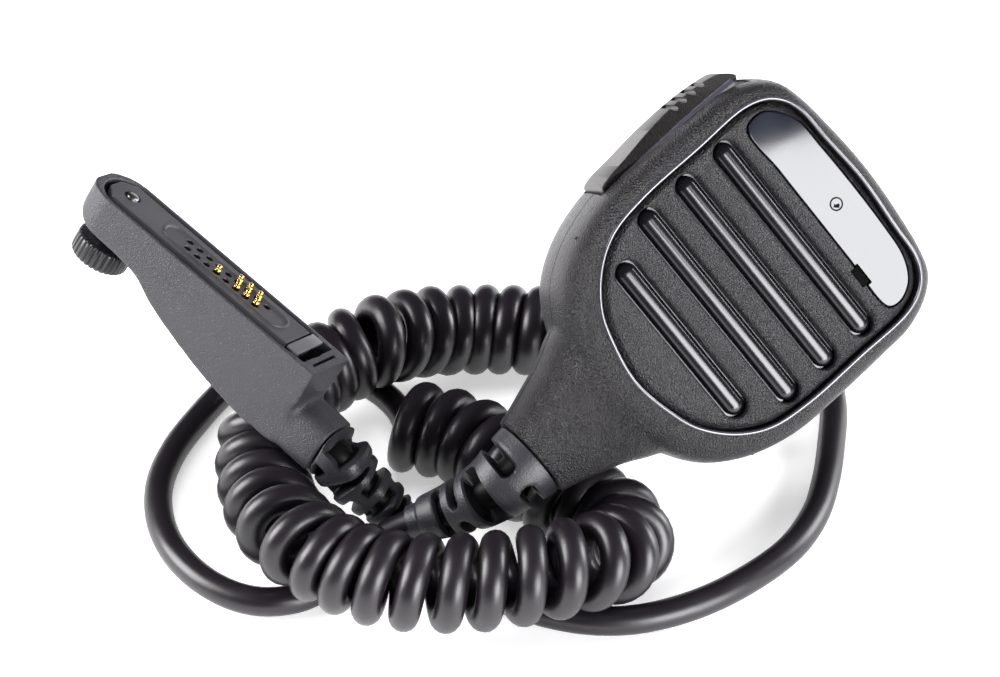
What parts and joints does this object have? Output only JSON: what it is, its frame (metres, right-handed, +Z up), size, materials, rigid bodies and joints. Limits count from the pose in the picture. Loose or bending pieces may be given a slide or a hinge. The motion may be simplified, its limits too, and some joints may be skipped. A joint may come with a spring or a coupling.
{
  "type": "hand microphone",
  "caption": "Speaker hand microphone with talk button and swivel belt clip, curly cord, and slim radio connector with spring contacts and thumb screw.",
  "frame": {"origin": "on the surface, under the middle of the box round the microphone itself (cord and connector left out)", "axes": "+Z up from the surface; +Y away from the viewer of the face, +X towards the head end of the microphone as it leans on its clip"},
  "size_m": [0.1672, 0.1087, 0.0825],
  "materials": {
    "case_plastic": "fine-grained moulded charcoal plastic",
    "gloss_plastic": "polished black plastic",
    "connector_plastic": "dark grey plastic with a fine spark-eroded texture",
    "cord_rubber": "satin black cord jacket",
    "rubber": "matt black rubber",
    "cone_fibre": "black fibre cone",
    "steel": "plain bright steel",
    "aluminium": "plain drawn can",
    "gold": "gold-plated contacts",
    "board": "green solder mask"
  },
  "bodies": {
    "microphone": {"cable_clamp": "steel", "circuit_board": "board", "clip_mount": "case_plastic", "coil_back": "cord_rubber", "coil_bend": "cord_rubber", "coil_front": "cord_rubber", "coil_left": "cord_rubber", "coil_middle": "cord_rubber", "contact_block": "gloss_plastic", "contact_plate": "connector_plastic", "cord_tail_mic": "cord_rubber", "cord_tail_plug": "cord_rubber", "cover_screw_1": "steel", "cover_screw_2": "steel", "cover_screw_3": "steel", "cover_screw_4": "steel", "cover_seal_long": "rubber", "cover_seal_short": "rubber", "front_cover": "case_plastic", "grille_insert": "gloss_plastic", "grille_panel": "case_plastic", "label_plate": "gloss_plastic", "mic_boot": "rubber", "mic_capsule": "aluminium", "mic_strain_relief": "cord_rubber", "plug_board": "board", "plug_catch": "connector_plastic", "plug_housing": "connector_plastic", "plug_seal": "rubber", "plug_strain_relief": "cord_rubber", "ptt_hinge_pin": "steel", "ptt_seal": "rubber", "ptt_switch": "steel", "rear_cover": "case_plastic", "speaker_cone": "cone_fibre", "speaker_frame": "steel", "speaker_gasket": "rubber"},
    "ptt_button": {"ptt_button": "case_plastic"},
    "switch_plunger": {"switch_plunger": "case_plastic"},
    "clip_base": {"clip_swivel_plate": "case_plastic", "clip_pin": "steel", "clip_spring": "steel"},
    "clip_arm": {"clip_arm": "case_plastic"},
    "screw_carrier": {"screw_washer": "steel"},
    "thumb_screw": {"thumb_knob": "connector_plastic", "knob_screw": "steel"},
    "contact_pin_1": {"contact_pin_1": "gold"},
    "contact_pin_2": {"contact_pin_2": "gold"},
    "contact_pin_3": {"contact_pin_3": "gold"},
    "contact_pin_4": {"contact_pin_4": "gold"},
    "contact_pin_5": {"contact_pin_5": "gold"},
    "contact_pin_6": {"contact_pin_6": "gold"},
    "contact_pin_7": {"contact_pin_7": "gold"}
  },
  "joints": [
    {"name": "ptt_press", "type": "hinge", "parent": "microphone", "child": "ptt_button", "pos_m": [-0.01175, 0.00842, 0.06421], "axis": [-0.2496, 0.7918, -0.5575], "range_deg": [0, 2.5], "stiffness_Nm_per_rad": 0.25, "springref_deg": -5.73},
    {"name": "plunger_slide", "type": "slide", "parent": "microphone", "child": "switch_plunger", "axis": [0.6243, -0.3086, -0.7177], "range_m": [0, 0.0009]},
    {"name": "clip_swivel", "type": "hinge", "parent": "microphone", "child": "clip_base", "pos_m": [0.01039, 0.02024, 0.03853], "axis": [-0.2496, 0.7918, -0.5575], "range_deg": [0, 285]},
    {"name": "clip_open", "type": "hinge", "parent": "clip_base", "child": "clip_arm", "pos_m": [0.00824, 0.02757, 0.03941], "axis": [0.9585, 0.284, -0.0257], "range_deg": [0, 24], "stiffness_Nm_per_rad": 0.6, "springref_deg": -20.05},
    {"name": "screw_travel", "type": "slide", "parent": "microphone", "child": "screw_carrier", "axis": [0.4963, 0.148, 0.8554], "range_m": [0, 0.0011]},
    {"name": "screw_turn", "type": "hinge", "parent": "screw_carrier", "child": "thumb_screw", "pos_m": [-0.11061, 0.01753, 0.04298], "axis": [0.4963, 0.148, 0.8554], "continuous": true},
    {"name": "contact_pin_1_press", "type": "slide", "parent": "microphone", "child": "contact_pin_1", "axis": [-0.4963, -0.148, -0.8554], "range_m": [0, 0.0008], "stiffness_N_per_m": 300, "springref_m": -0.0008},
    {"name": "contact_pin_2_press", "type": "slide", "parent": "microphone", "child": "contact_pin_2", "axis": [-0.4963, -0.148, -0.8554], "range_m": [0, 0.0008], "stiffness_N_per_m": 300, "springref_m": -0.0008},
    {"name": "contact_pin_3_press", "type": "slide", "parent": "microphone", "child": "contact_pin_3", "axis": [-0.4963, -0.148, -0.8554], "range_m": [0, 0.0008], "stiffness_N_per_m": 300, "springref_m": -0.0008},
    {"name": "contact_pin_4_press", "type": "slide", "parent": "microphone", "child": "contact_pin_4", "axis": [-0.4963, -0.148, -0.8554], "range_m": [0, 0.0008], "stiffness_N_per_m": 300, "springref_m": -0.0008},
    {"name": "contact_pin_5_press", "type": "slide", "parent": "microphone", "child": "contact_pin_5", "axis": [-0.4963, -0.148, -0.8554], "range_m": [0, 0.0008], "stiffness_N_per_m": 300, "springref_m": -0.0008},
    {"name": "contact_pin_6_press", "type": "slide", "parent": "microphone", "child": "contact_pin_6", "axis": [-0.4963, -0.148, -0.8554], "range_m": [0, 0.0008], "stiffness_N_per_m": 300, "springref_m": -0.0008},
    {"name": "contact_pin_7_press", "type": "slide", "parent": "microphone", "child": "contact_pin_7", "axis": [-0.4963, -0.148, -0.8554], "range_m": [0, 0.0008], "stiffness_N_per_m": 300, "springref_m": -0.0008}
  ],
  "couplings": [
    {"joint": "plunger_slide", "follows": "ptt_press", "m_per_rad": 0.0164}
  ]
}
